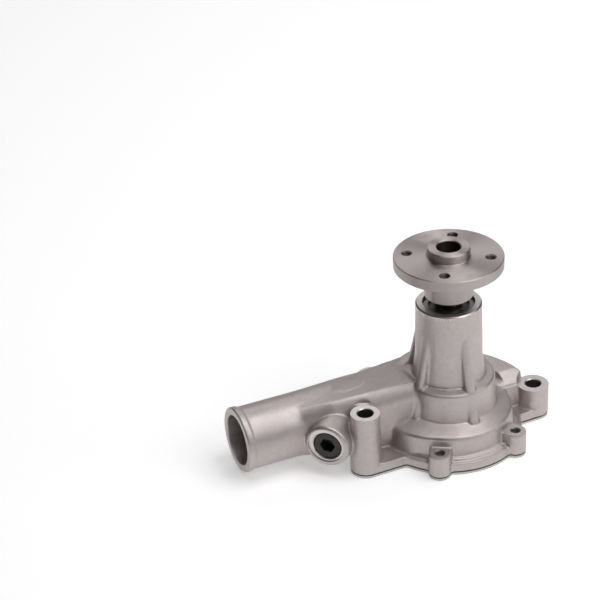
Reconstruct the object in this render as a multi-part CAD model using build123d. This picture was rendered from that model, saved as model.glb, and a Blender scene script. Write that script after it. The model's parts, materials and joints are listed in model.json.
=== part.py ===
from build123d import *
from collections import namedtuple
import math
import os

# Water pump with a belt-pulley hub on an integral-shaft bearing.
# Millimetres. Z is the shaft axis, z = 0 is the underside of the backing plate that meets the
# engine, and the hose tube runs towards -X.

os.makedirs("parts", exist_ok=True)

# ---------------------------------------------------------------- fits
SEAT = 0.01          # gap left between two pieces that are pressed together
RUNNING = 0.02       # radial running clearance of a lip or a face on the shaft
BALL_PLAY = 0.03     # gap between a ball and its groove or pocket

# ---------------------------------------------------------------- backing plate and gasket
PLATE_T = 1.4
GASKET_T = 0.9
GASKET_INSET = 0.12  # the gasket stops short of the plate's edge
GASKET_PLAY = 0.3    # its holes clear what passes through them by this much
BASE_Z = PLATE_T + GASKET_T

# ---------------------------------------------------------------- base flange
FLANGE_R = 42.3
FLANGE_TOP = 7.2
STEP_R = 39.6        # low step between the flange and the dome
STEP_TOP = 8.8
CORNER_R = 2.5       # rounding of the inside corners of the flange outline
BOSS_PROUD = 0.15    # the bosses stand this far outside the flange outline
ROOT = 1.0           # forms that stand on the flange start this deep inside it
TALL_WEB = (-20.0, -1.6, 18.0)   # x, y, radius of the circle that each boss's web runs to
RIGHT_WEB = (28.0, -0.6, 12.0)
REAR_WEB = (-14.0, 36.0, 12.0)
PORT_MARGIN = 1.5    # the flange stands this far outside the scroll
OVER = 1.0           # cutters run this far past what they cut
FAR = 150.0          # half the side of a cutter that has no end

# ---------------------------------------------------------------- impeller dome
DOME_FOOT_R = 37.5
DOME_SHOULDER_R = 36.7
DOME_SHOULDER_Z = 20.3
DOME_ROUND = 2.6
DOME_CROWN_R = 26.0
DOME_CROWN_Z = 25.1
DOME_SHIFT = (-4.5, 3.0)  # second centre of the dome, where it widens towards the inlet
CAVITY_R = 32.6
CAVITY_TOP = 17.0

# ---------------------------------------------------------------- suction drum below the snout
DRUM_R = 26.6
DRUM_FOOT_R = 27.1
DRUM_ROOT = 4.0      # the drum and the snout start this deep inside what carries them
DRUM_TOP = 42.1
DRUM_ROUND = 1.7
DRUM_WALL = 3.8
CHAMBER_FLOOR = 20.5
CHAMBER_ROOF = 37.6
EYE_R = 18.0
BULGE_R = 26.5       # eccentric part of the drum, behind the snout
BULGE_XY = (-2.0, 8.0)
BULGE_DROP = 0.5     # its top lies this far below the drum's
BULGE_ROUND = 3.0

# ---------------------------------------------------------------- snout
SNOUT_R = 18.8
SNOUT_WAIST_R = 19.3
SNOUT_WAIST_Z = 56.0
SNOUT_FOOT_R = 21.0
SNOUT_FOOT_Z = 43.6
SNOUT_TOP = 89.5
TOWER_R = 17.6       # inner tower that carries the shaft seal
TOWER_BOTTOM = 30.0
SEAL_BORE_R = 14.0
SEAL_BORE_TOP = 43.5
WEEP_BORE_R = 11.5
WEEP_HOLE_R = 2.0
WEEP_ANGLE = 90.0

# ---------------------------------------------------------------- snout ribs
RIB_ANGLES = (-87.0, -162.0, 126.0, 54.0)
RIB_TIP_Z = 77.0
RIB_FOOT_R = 30.0
RIB_FOOT_Z = 24.0
RIB_T = 6.2
RIB_ROOT_R = 10.0    # inner edge, inside the snout
RIB_EDGE = 0.36      # edge rounding as a share of the thickness

# ---------------------------------------------------------------- bearing
BEARING_R = 15.0
BEARING_BOTTOM = 49.5
BEARING_TOP = 87.5
RACE_R = 11.9        # inner radius of the outer ring
JOURNAL_R = 7.959
BALL_R = 3.0
BALL_COUNT = 8
PITCH_R = 9.96
ROW_Z = {"rear": 59.5, "front": 77.5}
CAGE_R = (8.7, 11.2)
CAGE_BACK = 1.6      # the cage reaches this far behind the ball centres
CAGE_FRONT = 4.2     # and this far in front of them
LIP_T = 1.8
LIP_INSET = 1.3      # lip seals sit this far inside the ends of the ring

# ---------------------------------------------------------------- shaft
SPIGOT_R = 6.55      # front end, inside the hub
TAIL_R = 6.5         # rear end, through the seal and the impeller
TAIL_TOP = 48.5
SHAFT_END = 112.5
SHAFT_TAIL = 4.2

# ---------------------------------------------------------------- pulley hub
HUB_PHASE = -33.2
HUB_FLANGE_R = 31.0
HUB_FLANGE_Z = 112.5
HUB_FLANGE_T = 6.5
HUB_TOP = 124.5
PILOT_R = 12.2
NECK_R = 13.9
NECK_BOTTOM = 94.3
HUB_HOLES = 4
HUB_PCD_R = 23.5
HUB_HOLE_R = 2.5
HUB_HOLE_MOUTH = 3.15

# ---------------------------------------------------------------- hose tube and inlet passage
TUBE_END = -124.2
TUBE_Y = 21.5
TUBE_Z = 20.8
TUBE_R = 18.3
TUBE_BORE_R = 14.6
BEAD_R = 19.1
BEAD_W = 4.2
MORPH_START = -94.0  # the round tube starts to turn into the square passage here
MORPH_END = -46.0
PASSAGE_END = -12.0
PASSAGE_WALL = 4.0
PASSAGE_TOP = 39.3
PASSAGE_SQUARENESS = 2.6
BACK_SQUARENESS = 0.08   # share of it that the back half gets
PASSAGE_FLOOR = 21.0  # floor of the waterway where it meets the drum
PASSAGE_ROOF = 35.3
PAD_XY = (-56.0, 17.3)
PAD_SIZE = (9.2, 6.6)
PAD_RISE = 0.45
PAD_ROOT = 3.0
DECK_FOOT_Z = 18.0    # lowest level of the solid that carries the flat deck of the passage
# A station of the passage: y of its front and back walls, the height where the front wall turns
# over, and y and z of the deck's front and rear edges.
Station = namedtuple("Station", "x wall_y turn_z front_y front_z rear_y rear_z back_y")
DECK = (
    Station(-91.0, 3.6, 20.8, 13.6, 37.0, 26.0, 37.0, 39.4),
    Station(-72.0, -1.0, 27.0, 5.6, 40.0, 26.5, 38.3, 40.0),
    Station(-56.0, -4.2, 31.3, 2.2, 42.2, 27.0, 38.6, 40.1),
    Station(-25.0, -9.6, 35.2, -3.4, 45.2, 28.5, 40.9, 39.6),
    Station(-8.0, -6.0, 35.0, 0.0, 42.0, 27.0, 40.9, 33.4),
)

# ---------------------------------------------------------------- discharge scroll
SCROLL_START = -4.0   # degrees about the shaft
SCROLL_SWEEP = 122.0
SCROLL_R = (51.5, 53.0)
SCROLL_IN_R = 38.0
SCROLL_GUTTER_Z = 22.6   # floor of the gutter between the scroll and the dome
SCROLL_TOP = 26.0
SCROLL_FRONT_Y = 0.6
SCROLL_FRONT_Z = 21.4
SCROLL_SLOPE_Y = 9.0
SCROLL_ROUND = 2.4
SCROLL_END_Y = -1.8   # the scroll's front end wall
PORT_SPAN = (14.0, 72.0)  # degrees covered by the discharge chamber
PORT_WALL = 4.5
PORT_ROOF = 21.5
WINDOW_SPAN = (20.0, 66.0)
WINDOW_R = (34.0, 43.5)

# ---------------------------------------------------------------- mounting bosses: x, y, top, top radius, foot radius
MOUNT_HOLE_R = 4.5
MOUNTS = {
    "tall": (-58.8, -11.2, 38.4, 8.4, 9.2),
    "right": (54.4, -2.6, 20.0, 9.2, 9.2),
    "rear": (-25.3, 49.6, 20.0, 8.8, 8.8),
}
MOUNT_CHAMFER = 0.5
WEB_START_X = 30.0    # upright web between the scroll and the right-hand boss
WEB_Y = 1.6
WEB_T = 7.0
# clear seats for the bolt heads, cut into what stands beside each boss
SEAT_R = {"tall": 11.2, "right": 8.4, "rear": 8.4}

# ---------------------------------------------------------------- plate screws and their bosses
SCREW_ANGLES = (-54.4, -124.6, 162.0, 90.0)
SCREW_PCD_R = 42.5
SCREW_BOSS_R = 6.3
SCREW_BOSS_TOP = 15.0
SCREW_PAD_REACH = 12.0  # straight flanks of a boss, towards the shaft
SCREW_R = 2.5
SCREW_HEAD_R = 4.6
SCREW_LENGTH = 11.5
SCREW_HOLE_MOUTH = 3.1
SCREW_SUNK = 0.1      # the heads stop this far above the plate's underside
SLOT_W = 1.2
SLOT_DEPTH = 0.9

# ---------------------------------------------------------------- side port and its plug
PORT_X = -81.9
PORT_FACE_Y = -8.2
PORT_TURN = 45.0      # angle by which the port leans toward the hose end
PORT_REACH = 29.0     # from the port's face to the barrel's inner end
PORT_BARREL_R = (12.9, 14.6)   # at the face, at the tube
PORT_SPOT_R = 10.6
PORT_MOUTH_R = 9.3
PORT_R = 8.35
PORT_SPOT = 0.8       # depth of the spot face round the plug
PORT_SPOT_SHIFT = (-0.5, 0.5)  # sideways and upward miss of the spot face
PORT_RIM_ROUND = 1.8
PLUG_SUNK = 0.7
PLUG_LENGTH = 9.5
PLUG_HEX = 8.0
PLUG_HEX_DEPTH = 6.0

# ---------------------------------------------------------------- impeller
IMPELLER_R = 29.5
IMPELLER_BOTTOM = 4.2
IMPELLER_DISC_T = 2.8
IMPELLER_HUB_R = 13.3
IMPELLER_HUB_TOP = 22.2
VANE_COUNT = 6
VANE_T = 2.6
VANE_TOP = CAVITY_TOP - 0.8
VANE_SWEEP = 52.0

# ---------------------------------------------------------------- shaft seal
SEAT_RECESS_R = 11.9
SEAT_RECESS_Z = 20.6
CERAMIC_R = (7.6, 11.0)
CERAMIC_Z = (22.0, 26.0)
CARBON_R = (7.6, 11.2)
CARBON_NOSE_R = 10.2
CARBON_TOP = 30.3
CARBON_GRIP = 2.6     # height of the rubber round the carbon ring
CARBON_FLANGE_Z = 1.4  # the ring is full width this far behind its face
CUP_T = 0.8
CUP_TOP = 41.0
CUP_FLANGE_R = 16.6
CUP_MOUTH_R = 8.8
BELLOWS_R = (8.6, 9.6)
BELLOWS_FOOT = 31.5
RUBBER_T = 0.8
BELLOWS_COLLAR = 1.0
LAP = 0.1             # overlap of two forms that make one piece
RETAINER_T = 0.45
SPRING_R = 11.0
SPRING_WIRE_R = 0.6
SPRING_TURNS = 3.0
SLINGER_R = 10.2
SLINGER_Z = (44.8, 47.8)


# ================================================================ helpers
def post(radius, bottom, top, x=0.0, y=0.0, top_radius=None):
    """Upright cylinder, or a cone where a top radius is given."""
    place = Pos(x, y, bottom)
    low = (Align.CENTER, Align.CENTER, Align.MIN)
    if top_radius is None or top_radius == radius:
        return place * Cylinder(radius, top - bottom, align=low)
    return place * Cone(radius, top_radius, top - bottom, align=low)


def turned(*corners):
    """Solid turned about Z from (radius, height) corners, each with an optional rounding."""
    outline = make_face(Plane.XZ * Polyline(*[c[:2] for c in corners], close=True))
    for corner in corners:
        if len(corner) == 3:
            spot = outline.vertices().sort_by_distance(Vector(corner[0], 0, corner[1]))[0]
            outline = fillet(spot, corner[2])
    return revolve(outline, Axis.Z)


def ring(inner, outer, bottom, top):
    """Plain ring about the shaft axis."""
    return post(outer, bottom, top) - post(inner, bottom - 1, top + 1)


def polar(radius, degrees):
    """Point at a radius and an angle about the shaft."""
    angle = math.radians(degrees)
    return (radius * math.cos(angle), radius * math.sin(angle))


def spokes(count, phase=0.0):
    """Evenly spaced rotations about the shaft."""
    return [Rot(0, 0, phase + 360.0 * i / count) for i in range(count)]


def hull_of(*circles):
    """Face that a belt round the circles (x, y, radius) would enclose."""
    edges = [(Pos(x, y) * Circle(r)).edge() for x, y, r in circles]
    return make_hull(edges)


def slab(face, bottom, top):
    """Face on z = 0 drawn up from bottom to top."""
    return Pos(0, 0, bottom) * extrude(face, top - bottom)


# ================================================================ outlines
def scroll_radius(share, extra=0.0):
    """Radius of the scroll at a share of its sweep."""
    return SCROLL_R[0] + (SCROLL_R[1] - SCROLL_R[0]) * share + extra


def scroll_face(extra=0.0, span=(SCROLL_START, SCROLL_START + SCROLL_SWEEP)):
    """Sector of the growing scroll, from the shaft axis out to its wall."""
    rim = []
    for degrees in (span[0], (span[0] + span[1]) / 2, span[1]):
        share = (degrees - SCROLL_START) / SCROLL_SWEEP
        rim.append(polar(scroll_radius(share, extra), degrees))
    wall = ThreePointArc(*rim)
    return make_face([wall, Line(wall @ 1, (0, 0)), Line((0, 0), wall @ 0)])


def screw_pad(radius):
    """Round screw boss with straight flanks that run in to the dome."""
    pads = Sketch()
    for angle in SCREW_ANGLES:
        place = Rot(0, 0, angle)
        pads += place * Pos(SCREW_PCD_R, 0) * Circle(radius)
        pads += place * Pos(SCREW_PCD_R - SCREW_PAD_REACH / 2, 0) * Rectangle(SCREW_PAD_REACH, 2 * radius)
    return pads


def base_outline():
    """Common outline of the flange, the gasket and the plate."""
    tall, right, rear = (MOUNTS[k] for k in ("tall", "right", "rear"))
    face = Sketch() + Circle(FLANGE_R) + scroll_face(PORT_MARGIN)
    tall, right, rear = ((x, y, foot_r - BOSS_PROUD) for x, y, _, _, foot_r in (tall, right, rear))
    face += hull_of(tall, rear, TALL_WEB)
    face += hull_of(right, RIGHT_WEB)
    face += hull_of(rear, REAR_WEB)
    face += screw_pad(SCREW_BOSS_R - BOSS_PROUD)
    face = offset(face, CORNER_R, kind=Kind.ARC)
    return offset(face, -CORNER_R, kind=Kind.ARC)


def mount_holes(bottom, top, radius=MOUNT_HOLE_R):
    """Cutters for the three mounting bolts."""
    cut = Part()
    for x, y, *_ in MOUNTS.values():
        cut += post(radius, bottom, top, x, y)
    return cut


def section(x, centre_z, front_w, back_w, half_h, power):
    """Closed section across the tube; the front half gets squarer as the power rises."""
    points = []
    count = 24
    for i in range(count):
        angle = 2 * math.pi * i / count
        c, s = math.cos(angle), math.sin(angle)
        squared = power if c < 0 else 2 + (power - 2) * BACK_SQUARENESS
        width = front_w if c < 0 else back_w
        u = math.copysign(abs(c) ** (2 / squared), c)
        v = math.copysign(abs(s) ** (2 / squared), s)
        points.append((x, TUBE_Y + width * u, centre_z + half_h * v))
    return make_face(Spline(*points, periodic=True))


def between_stations(x):
    """Station of the passage at any x."""
    x = min(max(x, DECK[0].x), DECK[-1].x)
    high = next(i for i in range(1, len(DECK)) if x <= DECK[i].x)
    low = high - 1
    share = (x - DECK[low].x) / (DECK[high].x - DECK[low].x)
    return Station(*(a + (b - a) * share for a, b in zip(DECK[low], DECK[high])))


def passage(floor, roof, start_r):
    """Loft from the round tube to the wide inlet passage, whose walls follow the stations."""
    half_h = (roof - floor) / 2
    middle = (roof + floor) / 2

    def cut_at(x, share):
        here = between_stations(x)
        s = share * share * (3 - 2 * share)
        front_w = start_r + max(TUBE_Y - TUBE_R - here.wall_y, 0)
        back_w = start_r + (here.back_y - TUBE_Y - TUBE_R) * s
        height = start_r + (half_h - start_r) * s
        centre = TUBE_Z + (middle - TUBE_Z) * s
        return section(x, centre, front_w, back_w, height, 2 + PASSAGE_SQUARENESS * s)

    shares = (0.0, 0.06, 0.24, 0.5, 0.76, 0.94, 1.0)
    body = loft([cut_at(MORPH_START + (MORPH_END - MORPH_START) * share, share) for share in shares])
    return body + loft([cut_at(x, 1.0) for x in (MORPH_END, DECK[-2].x, PASSAGE_END)], ruled=True)


def deck_section(station):
    """Section of the passage's upper half: upright wall, rounded shoulder, straight deck, round back."""
    front, rear = (station.front_y, station.front_z), (station.rear_y, station.rear_z)
    turn, foot = (station.wall_y, station.turn_z), (station.wall_y, DECK_FOOT_Z)
    back = (station.back_y, DECK_FOOT_Z)
    rim = [
        Line(foot, turn), TangentArc(turn, front, tangent=(0, 1)), Line(front, rear),
        TangentArc(back, rear, tangent=(0, 1)), Line(back, foot)
    ]
    return Pos(station.x, 0, 0) * (Plane.YZ * make_face(rim))


def build_deck():
    """Flat-topped upper half of the passage, which widens and rises towards the drum."""
    return loft([deck_section(station) for station in DECK], ruled=True)


def deck_point(x, y):
    """Height of the deck at x and y, and its slopes there along X and Y."""
    def height(at_x):
        here = between_stations(at_x)
        fall = (here.rear_z - here.front_z) / (here.rear_y - here.front_y)
        return here.front_z + fall * (y - here.front_y), fall

    (low, _), (middle, fall), (high, _) = (height(x + step) for step in (-1, 0, 1))
    return middle, (high - low) / 2, fall


def along_tube(radius, start, end):
    """Cylinder on the axis of the hose tube."""
    length = end - start
    rod = Cylinder(radius, length, rotation=(0, 90, 0))
    return Pos(start + length / 2, TUBE_Y, TUBE_Z) * rod


def port_place():
    """Frame of the side port: origin on its face, Y into the casting."""
    return Pos(PORT_X, PORT_FACE_Y, TUBE_Z) * Rot(0, 0, -PORT_TURN)


def along_port(radius, start, end, far_radius=None, shift=(0, 0)):
    """Cylinder or cone on the axis of the side port, between two depths behind its face."""
    length = end - start
    place = port_place() * Pos(shift[0], start + length / 2, shift[1]) * Rot(-90, 0, 0)
    if far_radius is None:
        return place * Cylinder(radius, length)
    return place * Cone(radius, far_radius, length)


# ================================================================ housing
def build_rib():
    """One upright rib that flares from the snout down to the dome."""
    profile = Plane.XZ * Polyline(
        (RIB_ROOT_R, RIB_TIP_Z), (SNOUT_R - 0.4, RIB_TIP_Z), (RIB_FOOT_R, RIB_FOOT_Z), (RIB_ROOT_R, RIB_FOOT_Z),
        close=True
    )
    fin = extrude(make_face(profile), RIB_T / 2, both=True)
    upright = [e for e in fin.edges() if e.bounding_box().size.Z > (RIB_TIP_Z - RIB_FOOT_Z) / 2]
    outer = [e for e in upright if e.center().X > SNOUT_R]
    return fillet(outer, RIB_T * RIB_EDGE)


def build_scroll():
    """Low flat-topped scroll round the back of the dome, with a sloped front."""
    body = slab(scroll_face(), BASE_Z + ROOT, SCROLL_TOP)
    rim = [e for e in body.edges().group_by(Axis.Z)[-1] if e.geom_type == GeomType.CIRCLE]
    body = fillet(rim, SCROLL_ROUND)
    drop = SCROLL_TOP - SCROLL_FRONT_Z
    slope = Plane.YZ * Polyline(
        (-FAR, SCROLL_FRONT_Z), (SCROLL_FRONT_Y, SCROLL_FRONT_Z), (SCROLL_SLOPE_Y, SCROLL_TOP),
        (SCROLL_SLOPE_Y, SCROLL_TOP + drop), (-FAR, SCROLL_TOP + drop), close=True
    )
    body -= extrude(make_face(slope), FAR)
    body -= Pos(0, SCROLL_END_Y - FAR, 0) * Box(2 * FAR, 2 * FAR, 2 * FAR)
    return body - post(SCROLL_IN_R, SCROLL_GUTTER_Z, SCROLL_TOP + OVER)


def build_housing():
    """Cast aluminium body, with its bores and waterways."""
    outline = base_outline()
    body = slab(outline, BASE_Z, FLANGE_TOP)
    body += post(STEP_R, BASE_Z + ROOT, STEP_TOP)
    dome = turned(
        (0, BASE_Z + ROOT), (DOME_FOOT_R, BASE_Z + ROOT), (DOME_SHOULDER_R, DOME_SHOULDER_Z, DOME_ROUND),
        (DOME_CROWN_R, DOME_CROWN_Z), (0, DOME_CROWN_Z)
    )
    body += dome
    body += Pos(*DOME_SHIFT, -0.1) * dome
    body += build_scroll()
    body += turned(
        (0, DOME_CROWN_Z - DRUM_ROOT), (DRUM_FOOT_R, DOME_CROWN_Z - DRUM_ROOT), (DRUM_R, DRUM_TOP, DRUM_ROUND),
        (SNOUT_FOOT_R - 1, SNOUT_FOOT_Z + 0.4), (0, SNOUT_FOOT_Z + 0.4)
    )
    bulge = post(BULGE_R, DOME_CROWN_Z - DRUM_ROOT, DRUM_TOP - BULGE_DROP, *BULGE_XY)
    body += fillet(bulge.edges().group_by(Axis.Z)[-1], BULGE_ROUND)
    body += turned(
        (0, DRUM_TOP - DRUM_ROOT), (SNOUT_FOOT_R + 0.4, DRUM_TOP - DRUM_ROOT), (SNOUT_WAIST_R, SNOUT_WAIST_Z),
        (SNOUT_R, SNOUT_TOP, 0.6), (0, SNOUT_TOP)
    )
    rib = build_rib()
    for angle in RIB_ANGLES:
        body += Rot(0, 0, angle) * rib

    # inlet tube, its passage and the blank oval pad on top
    duct = passage(BASE_Z + 0.5, PASSAGE_TOP, TUBE_R - 0.05)
    body += duct
    body += along_tube(TUBE_R, TUBE_END, MORPH_START + 1)
    bead = along_tube(BEAD_R, TUBE_END, TUBE_END + BEAD_W)
    body += fillet(bead.edges().filter_by(GeomType.CIRCLE), 0.7)
    body += build_deck()
    height, rise, fall = deck_point(*PAD_XY)
    tilt = Rot(math.degrees(math.atan(fall)), -math.degrees(math.atan(rise)), 0)
    body += Pos(*PAD_XY, height) * tilt * slab(Sketch() + Ellipse(*PAD_SIZE), -PAD_ROOT, PAD_RISE)

    # mounting bosses, screw bosses and the web beside the right-hand boss
    for x, y, top, top_r, foot_r in MOUNTS.values():
        body += post(foot_r, BASE_Z, top, x, y, top_r)
    body += slab(screw_pad(SCREW_BOSS_R), BASE_Z, SCREW_BOSS_TOP)
    right = MOUNTS["right"]
    body += Pos((WEB_START_X + right[0]) / 2, WEB_Y, BASE_Z) * Box(
        right[0] - WEB_START_X, WEB_T, right[2] - BASE_Z, align=(Align.CENTER, Align.CENTER, Align.MIN)
    )

    # side port
    barrel = along_port(PORT_BARREL_R[0], 0, PORT_REACH, PORT_BARREL_R[1])
    rim = barrel.edges().filter_by(GeomType.CIRCLE).sort_by(Axis.Y)[0]
    body += fillet(rim, PORT_RIM_ROUND)

    # bores
    body -= post(BEARING_R, BEARING_BOTTOM, SNOUT_TOP + 1)
    body -= post(BEARING_R, SNOUT_TOP - 0.5, SNOUT_TOP + 0.01, 0, 0, BEARING_R + 0.5)
    body -= post(WEEP_BORE_R, SEAL_BORE_TOP - 1, BEARING_BOTTOM + 1)
    body -= post(SEAL_BORE_R, TOWER_BOTTOM - 1, SEAL_BORE_TOP)
    weep = Pos(0, 0, (SEAL_BORE_TOP + BEARING_BOTTOM) / 2) * Rot(0, 0, WEEP_ANGLE) * Pos(20, 0, 0)
    body -= weep * Cylinder(WEEP_HOLE_R, 24, rotation=(0, 90, 0))

    # impeller cavity, discharge chamber, suction chamber and inlet waterway
    body -= post(CAVITY_R, BASE_Z - 1, CAVITY_TOP)
    chamber = slab(scroll_face(-PORT_WALL, PORT_SPAN), BASE_Z - 1, PORT_ROOF) - post(20, 0, 60)
    body -= chamber
    body -= post(EYE_R, CAVITY_TOP - 1, CHAMBER_FLOOR + 1)
    water = post(DRUM_R - DRUM_WALL, CHAMBER_FLOOR, CHAMBER_ROOF)
    water += post(BULGE_R - PASSAGE_WALL, CHAMBER_FLOOR + 3.5, PASSAGE_ROOF, *BULGE_XY)
    water += passage(PASSAGE_FLOOR, PASSAGE_ROOF, TUBE_BORE_R - 0.05)
    water -= post(TOWER_R, TOWER_BOTTOM, 60)
    body -= water
    body -= along_tube(TUBE_BORE_R, TUBE_END - 1, MORPH_START + 1)

    # mounting holes with a clear seat above each boss, tapped screw holes
    body -= mount_holes(0, 60)
    for name, (x, y, top, *_) in MOUNTS.items():
        body -= post(SEAT_R[name], top, 60, x, y)
    for x, y, top, *_ in MOUNTS.values():
        body -= post(MOUNT_HOLE_R, top - MOUNT_CHAMFER, top + 0.01, x, y, MOUNT_HOLE_R + MOUNT_CHAMFER)
    for angle in SCREW_ANGLES[:2]:
        x, y = polar(SCREW_PCD_R, angle)
        body -= post(SCREW_R, BASE_Z - 1, SCREW_BOSS_TOP + 1, x, y)
        mouth = SCREW_HOLE_MOUTH - SCREW_R
        body -= post(SCREW_R, SCREW_BOSS_TOP - mouth, SCREW_BOSS_TOP + 0.01, x, y, SCREW_HOLE_MOUTH)
    for angle in SCREW_ANGLES[2:]:
        body -= post(SCREW_R, BASE_Z - 1, SCREW_BOSS_TOP - 1, *polar(SCREW_PCD_R, angle))

    # threaded side port with its spot face
    body -= along_port(PORT_R, -OVER, PORT_REACH)
    body -= along_port(PORT_SPOT_R, -OVER, PORT_SPOT, shift=PORT_SPOT_SHIFT)
    body -= along_port(PORT_MOUTH_R, PORT_SPOT, PORT_SPOT + PORT_MOUTH_R - PORT_R, PORT_R)
    return body


# ================================================================ plate, gasket, screws, plug
def screw_spots():
    """Centres of the plate screws."""
    return [polar(SCREW_PCD_R, angle) for angle in SCREW_ANGLES]


def window():
    """Kidney-shaped discharge window."""
    lo, hi = WINDOW_SPAN
    mid = (lo + hi) / 2
    outer = ThreePointArc(polar(WINDOW_R[1], lo), polar(WINDOW_R[1], mid), polar(WINDOW_R[1], hi))
    inner = ThreePointArc(polar(WINDOW_R[0], hi), polar(WINDOW_R[0], mid), polar(WINDOW_R[0], lo))
    face = make_face([outer, Line(outer @ 1, inner @ 0), inner, Line(inner @ 1, outer @ 0)])
    return fillet(face.vertices(), 2.5)


def build_plate():
    """Flat steel backing plate."""
    body = slab(base_outline(), 0, PLATE_T)
    body -= mount_holes(-1, PLATE_T + 1)
    body -= slab(window(), -1, PLATE_T + 1)
    mouth = SCREW_HEAD_R + SCREW_SUNK + SEAT
    for x, y in screw_spots():
        body -= post(mouth, 0, PLATE_T, x, y, mouth - PLATE_T)
    return body


def build_gasket():
    """Thin gasket between the plate and the flange, open over the cavity."""
    body = slab(offset(base_outline(), -GASKET_INSET), PLATE_T, BASE_Z)
    body -= mount_holes(0, 10, MOUNT_HOLE_R + GASKET_PLAY)
    body -= post(CAVITY_R + GASKET_PLAY, 0, 10)
    body -= slab(scroll_face(-PORT_WALL, PORT_SPAN), 0, 10)
    head = SCREW_HEAD_R + SCREW_SUNK - PLATE_T
    for x, y in screw_spots():
        body -= post(head + GASKET_PLAY, 0, 10, x, y)
    return body


def build_screw(x, y):
    """Countersunk plate screw with a slot."""
    head_h = SCREW_HEAD_R - SCREW_R
    body = post(SCREW_HEAD_R, SCREW_SUNK, SCREW_SUNK + head_h, x, y, SCREW_R)
    body += post(SCREW_R - SEAT, SCREW_SUNK + head_h / 2, SCREW_SUNK + SCREW_LENGTH, x, y)
    slot = Box(3 * SCREW_HEAD_R, SLOT_W, SLOT_DEPTH, align=(Align.CENTER, Align.CENTER, Align.MIN))
    return body - Pos(x, y, SCREW_SUNK) * slot


def build_plug():
    """Socket plug in the side port."""
    start = PORT_SPOT + PLUG_SUNK
    body = along_port(PORT_R - SEAT, start, start + PLUG_LENGTH)
    rim = body.edges().filter_by(GeomType.CIRCLE).sort_by(Axis.Y)[0]
    body = chamfer(rim, 0.6)
    socket = extrude(RegularPolygon(PLUG_HEX / 2, 6, major_radius=False), PLUG_HEX_DEPTH)
    return body - port_place() * Pos(0, start, 0) * Rot(-90, 0, 0) * socket


# ================================================================ bearing
def groove(row):
    """Ball track of one row."""
    return Pos(0, 0, ROW_Z[row]) * Torus(PITCH_R, BALL_R + BALL_PLAY)


def build_outer_ring():
    """Hardened outer ring with its two tracks."""
    body = ring(RACE_R, BEARING_R - SEAT, BEARING_BOTTOM, BEARING_TOP)
    body = chamfer([e for e in body.edges() if e.geom_type == GeomType.CIRCLE and e.radius > RACE_R + 1], 0.5)
    for row in ROW_Z:
        body -= groove(row)
    return body


def build_lip(front):
    """Lip seal at one end of the ring."""
    low = BEARING_TOP - LIP_INSET - LIP_T if front else BEARING_BOTTOM + LIP_INSET
    body = ring(JOURNAL_R + RUNNING, RACE_R - SEAT, low, low + LIP_T)
    face = low + LIP_T if front else low
    return body - ring(JOURNAL_R + 0.9, RACE_R - 0.8, face - 0.5, face + 0.5)


def build_balls(row):
    """One row of balls."""
    ball = Pos(PITCH_R, 0, ROW_Z[row]) * Sphere(BALL_R)
    return Compound(children=[turn * ball for turn in spokes(BALL_COUNT)])


def build_cage(row):
    """Crown cage of one row."""
    z = ROW_Z[row]
    body = ring(CAGE_R[0], CAGE_R[1], z - CAGE_BACK, z + CAGE_FRONT)
    pocket = Pos(PITCH_R, 0, z) * Sphere(BALL_R + BALL_PLAY)
    for turn in spokes(BALL_COUNT):
        body -= turn * pocket
    return body


# ================================================================ rotating group
def build_shaft():
    """Shaft that is also the bearing's inner race."""
    body = post(TAIL_R, SHAFT_TAIL, TAIL_TOP)
    body += post(JOURNAL_R, TAIL_TOP, NECK_BOTTOM)
    body += post(SPIGOT_R - SEAT, NECK_BOTTOM, SHAFT_END)
    body = chamfer(body.edges().group_by(Axis.Z)[-1] + body.edges().group_by(Axis.Z)[0], 0.6)
    for row in ROW_Z:
        body -= groove(row)
    return body


def build_hub():
    """Turned steel hub that carries the belt pulley and the fan."""
    flange_top = HUB_FLANGE_Z + HUB_FLANGE_T
    body = turned(
        (SPIGOT_R + 0.6, NECK_BOTTOM), (NECK_R - 0.5, NECK_BOTTOM), (NECK_R, NECK_BOTTOM + 0.5),
        (NECK_R, HUB_FLANGE_Z, 0.8), (HUB_FLANGE_R - 0.4, HUB_FLANGE_Z), (HUB_FLANGE_R, HUB_FLANGE_Z + 0.4),
        (HUB_FLANGE_R, flange_top - 0.4), (HUB_FLANGE_R - 0.4, flange_top), (PILOT_R, flange_top, 0.6),
        (PILOT_R, HUB_TOP - 0.5), (PILOT_R - 0.5, HUB_TOP), (SPIGOT_R + 0.8, HUB_TOP),
        (SPIGOT_R, HUB_TOP - 0.8), (SPIGOT_R, NECK_BOTTOM + 0.6)
    )
    mouth = HUB_HOLE_MOUTH - HUB_HOLE_R
    for turn in spokes(HUB_HOLES, HUB_PHASE):
        x, y = HUB_PCD_R, 0.0
        cut = post(HUB_HOLE_R, HUB_FLANGE_Z - 1, flange_top + 1, x, y)
        cut += post(HUB_HOLE_R, flange_top - mouth, flange_top + 0.01, x, y, HUB_HOLE_MOUTH)
        cut += post(HUB_HOLE_MOUTH, HUB_FLANGE_Z - 0.01, HUB_FLANGE_Z + mouth, x, y, HUB_HOLE_R)
        body -= turn * cut
    return body


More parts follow.
